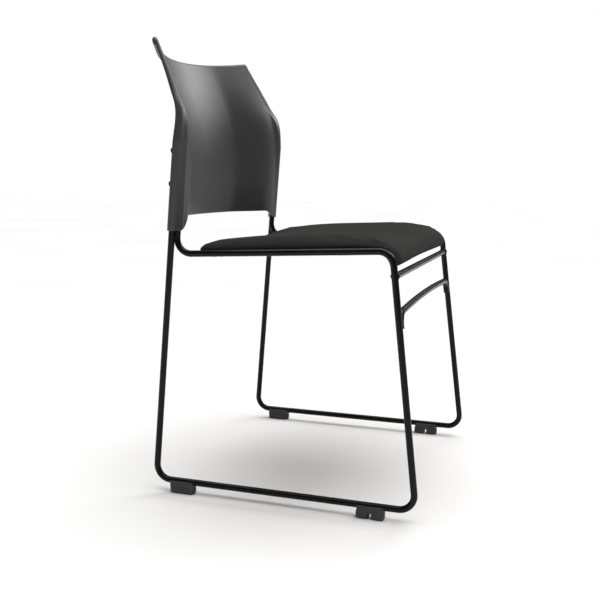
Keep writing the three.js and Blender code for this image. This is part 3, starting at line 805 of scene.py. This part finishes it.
def pad_grid(shrink):
    """The pad's closed skin, a little smaller all round by shrink."""
    columns, rows = 73, 66
    side = np.sin(np.linspace(-np.pi / 2, np.pi / 2, columns))
    side = 0.55 * side + 0.45 * np.linspace(-1, 1, columns)
    near, far = BEND_AT - PAD_FRONT, PAD_REAR
    t = np.linspace(0, 1, rows)
    along = near + (far - near) * (0.6 * t + 0.4 * (1 - np.cos(np.pi * t)) / 2)
    into = np.clip(along - (PAD_REAR - PAD_CORNER_R), 0, PAD_CORNER_R)
    half = PAD_HALF_X - (PAD_CORNER_R - np.sqrt(PAD_CORNER_R**2 - into**2))
    x = side[None, :] * half[:, None]
    s = np.repeat(along[:, None], columns, axis=1)
    top = seat_points(x * (1 - shrink / PAD_HALF_X), s, crown(x, s) - shrink)
    low = seat_points(x * (1 - shrink / PAD_HALF_X), s, np.full_like(x, PAD_LOW))
    points = np.concatenate([top.reshape(-1, 3), low.reshape(-1, 3)])
    faces, base = [], rows * columns
    for i in range(rows - 1):
        for j in range(columns - 1):
            a = i * columns + j
            quad = (a, a + 1, a + columns + 1, a + columns)
            faces.append(quad)
            faces.append(tuple(base + k for k in reversed(quad)))
    ring = list(range(columns))
    ring += [i * columns + columns - 1 for i in range(1, rows)]
    ring += [(rows - 1) * columns + j for j in range(columns - 2, -1, -1)]
    ring += [i * columns for i in range(rows - 2, 0, -1)]
    for a, b in zip(ring, ring[1:] + ring[:1]):
        faces.append((b, a, base + a, base + b))
    return points, faces


def apply_modifiers(made):
    bpy.context.view_layer.update()
    evaluated = made.evaluated_get(bpy.context.evaluated_depsgraph_get())
    mesh = bpy.data.meshes.new_from_object(evaluated)
    made.modifiers.clear()
    made.data = mesh


def simulated(made, cap):
    """Swells the pad as stuffed cloth with its underside held, and no point moved past cap."""
    rest = np.array([v.co for v in made.data.vertices])
    held = made.vertex_groups.new(name="held")
    low = rest[:, 2] < PAD_LOW * MM + 0.0015
    held.add([int(i) for i in np.nonzero(low)[0]], 1.0, "REPLACE")
    cloth = made.modifiers.new("cloth", "CLOTH")
    cloth.settings.use_pressure = True
    cloth.settings.uniform_pressure_force = 4.0
    cloth.settings.effector_weights.gravity = 0.0
    cloth.settings.vertex_group_mass = "held"
    cloth.settings.tension_stiffness = 25.0
    cloth.settings.bending_stiffness = 1.5
    frames = 20
    cloth.point_cache.frame_start, cloth.point_cache.frame_end = 1, frames
    for number in range(1, frames + 1):
        bpy.context.scene.frame_set(number)
    apply_modifiers(made)
    moved = np.array([v.co for v in made.data.vertices])
    bpy.context.scene.frame_set(1)
    step = moved - rest
    length = np.linalg.norm(step, axis=1)
    step *= np.minimum(1, cap / np.maximum(length, 1e-9))[:, None]
    return rest, step


def flat_place(points):
    """Where points of the pad, in the seat's own frame, lie on the cloth laid flat."""
    x, y, z = points.T
    turn = np.clip(np.arctan2(BEND_AT - y, z + BEND_RADIUS), 0, BEND_TURN)
    s = np.where(y < BEND_AT, BEND_AT - 38 * turn - np.maximum(-z - 2, 0) * 0.9, y)
    gap = np.maximum(edge_gap(np.clip(x, -PAD_HALF_X, PAD_HALF_X), np.clip(s, -190, PAD_REAR)), 0)
    fall = np.where(gap < 22, (22 - gap) * 0.5, 0) + np.maximum(8 - z, 0) * (gap < 8)
    rearwards = smooth(PAD_REAR - 40, PAD_REAR, s) * (np.abs(x) < PAD_HALF_X - 30)
    return np.stack([x + np.sign(x) * fall * (1 - rearwards), s + fall * rearwards], axis=1)


def pull_lines(points):
    """Faint tension lines where the cloth is drawn round the corners, as heights."""
    x, y = points[:, 0], points[:, 1]
    height = np.zeros(len(points))
    for side in (-1, 1):
        for centre, reach, amount, count in (((205, 158), 62, 0.55, 11), ((210, -168), 48, 0.5, 9)):
            dx, dy = side * x - centre[0], y - centre[1]
            angle, far = np.arctan2(dy, dx), np.hypot(dx, dy)
            fade = np.exp(-((far - 14) / reach) ** 2 * 2.2) * smooth(2, 14, far)
            height += amount * fade * np.sin(angle * count + 0.6 * side + 0.03 * far)
    return height


def seat_pad():
    """The padded seat: stuffed cloth over the foam's shape, in the seat's frame until the end."""
    points, faces = pad_grid(CLOTH_SHRINK)
    mesh = bpy.data.meshes.new("pad")
    mesh.from_pydata((points * MM).tolist(), [], faces)
    made = bpy.data.objects.new("pad", mesh)
    bpy.context.scene.collection.objects.link(made)
    remesh = made.modifiers.new("remesh", "REMESH")
    remesh.mode, remesh.voxel_size = "VOXEL", CLOTH_VOXEL * MM
    remesh.use_smooth_shade = True
    apply_modifiers(made)
    rest, step = simulated(made, CLOTH_REACH * MM)
    made.data.vertices.foreach_set("co", (rest + step).ravel())
    relax = made.modifiers.new("relax", "SMOOTH")
    relax.factor, relax.iterations = 0.5, 4
    finer = made.modifiers.new("finer", "SUBSURF")
    finer.levels = finer.render_levels = 1
    apply_modifiers(made)
    local = np.array([v.co for v in made.data.vertices]) / MM
    normals = np.array([v.normal for v in made.data.vertices])
    above = smooth(3, 9, local[:, 2])
    local = local + normals * (pull_lines(local) * above)[:, None]
    cloth_place = flat_place(local) * MM
    layer = made.data.uv_layers.new(name="weave")
    corners = np.zeros(len(made.data.loops), int)
    made.data.loops.foreach_get("vertex_index", corners)
    layer.data.foreach_set("uv", cloth_place[corners].ravel())
    turned = local @ np.array(Matrix.Rotation(SEAT_TILT, 3, "X")).T + (0, SHIFT, RAIL_MID_Z)
    made.data.vertices.foreach_set("co", (turned * MM).ravel())
    made.data.polygons.foreach_set("use_smooth", [True] * len(made.data.polygons))
    made.data.materials.clear()
    made.data.materials.append(LOOKS["upholstery"])
    made.data.update()
    declare(made, "upholstery", "seat_cover", "seat_foam")


def hem_path(inset, height):
    """Points of a line under the seat board, inset from its edge."""
    corner = 26.5
    half, rear, near = BOARD_HALF_X - inset, BOARD_REAR - inset, BEND_AT - BOARD_FRONT + inset
    outline = [(half, near + 12)]
    outline += [(half, lerp(near + 12, rear - corner, k / 40)) for k in range(1, 41)]
    outline += [(half - corner + corner * math.cos(a), rear - corner + corner * math.sin(a))
                for a in np.linspace(0, math.pi / 2, 9)[1:]]
    outline += [(lerp(half - corner, 0, k / 20), rear) for k in range(1, 21)]
    outline += [(-x, s) for x, s in reversed(outline[:-1])]
    return seat_points(np.array([p[0] for p in outline]), np.array([p[1] for p in outline]),
                       np.full(len(outline), height))


def seat_hem():
    """The cloth turned under the board all round, with its cut edge."""
    rng = random.Random(7)
    lines = [hem_path(inset, height) for inset, height in
             ((-6.5, 0.9), (-2.5, -1.0), (2.0, -1.45), (15.0, -1.5), (15.6, -1.2), (15.6, -0.7))]
    for k in range(len(lines[0])):
        ragged = rng.uniform(-0.9, 0.9)
        for line in lines[3:]:
            inwards = lines[2][k] - line[k]
            line[k] += inwards / np.linalg.norm(inwards) * ragged
    count = len(lines[0])
    points = [seat_place(p) for line in lines for p in line]
    faces = [(i * count + j, (i + 1) * count + j, (i + 1) * count + j + 1, i * count + j + 1)
             for i in range(len(lines) - 1) for j in range(count - 1)]
    made = piece("pad_hem", points, faces, "upholstery", sharp=60)
    layer = made.data.uv_layers.new(name="weave")
    for loop in made.data.loops:
        line, at = divmod(loop.vertex_index, count)
        layer.data[loop.index].uv = (at * 0.009, line * 0.005)


def staples():
    """Staples through the hem, lying across it."""
    inner, outer = hem_path(11.5, -1.9), hem_path(2.5, -1.9)
    parts = []
    for k in range(4, len(inner) - 4, 3):
        a, b = seat_place(inner[k]), seat_place(outer[k])
        along = (seat_place(inner[k + 1]) - seat_place(inner[k - 1])).normalized() * 4.5
        centre = (a + b) / 2
        up = Vector((0, 0, 2.2))
        parts.append(tube(bent_path(
            [centre - along + up, centre - along, centre + along, centre + along + up], 0.6, 4),
            0.42, 6))
    piece("staples", *together(parts), "zinc_nut")


# ---- The chair, the room and the camera ----------------------------------------------

def dress_cad_nodes():
    """Better materials for the CAD nodes that stay: straps, board and tee nuts."""
    looks = {"seat_strap": "powder_coat", "seat_board": "plywood", "tee_nut": "zinc_nut"}
    for name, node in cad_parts.items():
        for start, look in looks.items():
            if name.startswith(start):
                node.data.materials.clear()
                node.data.materials.append(LOOKS[look])


def stage():
    n = Nodes("floor")
    tone = n.noise(1.2, 3)
    colour = n.ramp(tone, (0.3, (0.93, 0.93, 0.93)), (0.7, (0.945, 0.945, 0.945)))
    look = n.finish(colour, n.spread(tone, 0.55, 0.65), n.bump(n.noise(300, 2), 0.0001, 0.2))
    mesh = bpy.data.meshes.new("floor")
    half = 14.0
    mesh.from_pydata([(-half, -half, 0), (half, -half, 0), (half, half, 0), (-half, half, 0)],
                     [], [(0, 1, 2, 3)])
    mesh.materials.append(look)
    floor = bpy.data.objects.new("floor", mesh)
    bpy.context.scene.collection.objects.link(floor)


def lamp(name, kind, energy, place, aim):
    """A light at place that points at aim. Returns its settings."""
    data = bpy.data.lights.new(name, kind)
    data.energy = energy
    made = bpy.data.objects.new(name, data)
    made.location = place
    made.rotation_euler = (Vector(aim) - Vector(place)).to_track_quat("-Z", "Y").to_euler()
    bpy.context.scene.collection.objects.link(made)
    return data


def light_the_room():
    """A white backdrop, dimmer as a light than it looks, a broad ceiling and a soft key."""
    world = bpy.data.worlds.new("studio")
    world.use_nodes = True
    nodes, links = world.node_tree.nodes, world.node_tree.links
    dim, paper = nodes["Background"], nodes.new("ShaderNodeBackground")
    dim.inputs["Color"].default_value = (1.0, 1.0, 1.0, 1)
    dim.inputs["Strength"].default_value = 0.14
    paper.inputs["Color"].default_value = (1.0, 1.0, 1.0, 1)
    seen, path = nodes.new("ShaderNodeMixShader"), nodes.new("ShaderNodeLightPath")
    links.new(path.outputs["Is Camera Ray"], seen.inputs[0])
    links.new(dim.outputs[0], seen.inputs[1])
    links.new(paper.outputs[0], seen.inputs[2])
    links.new(seen.outputs[0], nodes["World Output"].inputs["Surface"])
    bpy.context.scene.world = world
    ceiling = lamp("ceiling", "SUN", 3.3, (0, 0, 3), (-0.53, 0.32, 0))
    ceiling.angle = math.radians(70)
    key = lamp("back_key", "SPOT", 300, (1.95, -0.8, 1.95), (-0.05, 0.22, 0.85))
    key.shadow_soft_size, key.spot_size, key.spot_blend = 0.9, math.radians(34), 1.0


def camera():
    data = bpy.data.cameras.new("camera")
    data.sensor_width = 36.0
    data.lens = 50.416
    eye = bpy.data.objects.new("camera", data)
    eye.location = (-1.4960, -0.4724 + SHIFT * MM, 0.5521)
    eye.rotation_euler = (math.radians(90 - 8.61), 0, math.radians(19.11 - 90))
    bpy.context.scene.collection.objects.link(eye)
    bpy.context.scene.camera = eye


camera()
for side_name, side_sign in SIDES.items():
    side_rod(side_name, side_sign)
cross_rod()
arch_brace()
welds()
back_shell()
back_screws()
seat_screws()
glides()
seat_pad()
seat_hem()
staples()
dress_cad_nodes()
stage()
light_the_room()
bpy.context.scene.view_settings.view_transform = "Standard"
